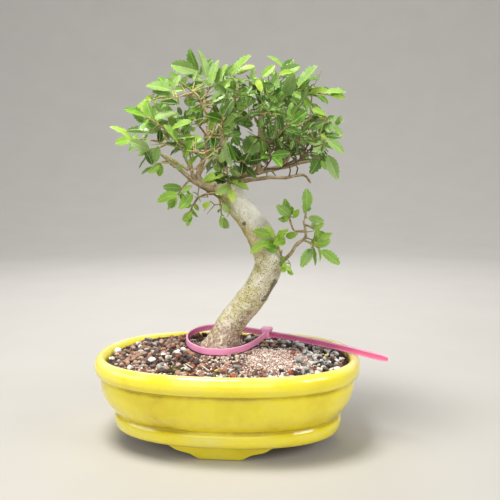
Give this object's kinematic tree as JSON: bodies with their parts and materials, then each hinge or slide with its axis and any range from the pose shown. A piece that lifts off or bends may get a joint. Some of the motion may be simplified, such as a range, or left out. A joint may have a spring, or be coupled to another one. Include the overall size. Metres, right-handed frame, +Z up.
{
  "type": "chinese elm bonsai",
  "caption": "Bonsai elm with a bent trunk, forked branches and saw-toothed leaves, standing in gravel in an oval glazed pot on feet, with a loose cable tie round its foot.",
  "frame": {"origin": "on the table, under the middle of the whole part's outline; the middle of the pot is 9.2 mm towards -X of it", "axes": "+X along the pot towards the tail of the tie, +Y away from the front foot, +Z up"},
  "size_m": [0.2184, 0.1464, 0.2913],
  "materials": {
    "glaze": "gloss yellow glaze",
    "gravel": "loose crushed stone and grit",
    "bark": "smooth grey bark with small dots",
    "leaf": "satin green leaves",
    "nylon": "moulded pink nylon",
    "screen_plastic": "moulded mesh"
  },
  "bodies": {
    "root": {"pot": "glaze", "drain_screen_left": "screen_plastic", "drain_screen_right": "screen_plastic", "soil": "gravel", "trunk": "bark", "cable_tie": "nylon", "shoot_01": "leaf", "shoot_02": "leaf", "shoot_03": "leaf", "shoot_04": "leaf", "shoot_05": "leaf", "shoot_06": "leaf", "shoot_07": "leaf", "shoot_08": "leaf", "shoot_09": "leaf", "shoot_10": "leaf", "shoot_11": "leaf", "shoot_12": "leaf", "shoot_13": "leaf", "shoot_14": "leaf", "shoot_15": "leaf", "shoot_16": "leaf", "shoot_17": "leaf", "shoot_18": "leaf", "shoot_19": "leaf", "shoot_20": "leaf", "shoot_21": "leaf", "shoot_22": "leaf", "shoot_23": "leaf", "shoot_24": "leaf", "shoot_25": "leaf", "shoot_26": "leaf", "shoot_27": "leaf", "shoot_28": "leaf", "shoot_29": "leaf", "shoot_30": "leaf", "shoot_31": "leaf", "shoot_32": "leaf", "shoot_33": "leaf", "shoot_34": "leaf", "shoot_35": "leaf", "shoot_36": "leaf", "shoot_37": "leaf", "shoot_38": "leaf", "shoot_39": "leaf", "shoot_40": "leaf", "shoot_41": "leaf", "shoot_42": "leaf", "shoot_43": "leaf", "shoot_44": "leaf", "shoot_45": "leaf", "shoot_46": "leaf", "shoot_47": "leaf", "shoot_48": "leaf", "shoot_49": "leaf", "shoot_50": "leaf", "shoot_51": "leaf", "shoot_52": "leaf", "shoot_53": "leaf", "shoot_54": "leaf"}
  },
  "joints": []
}
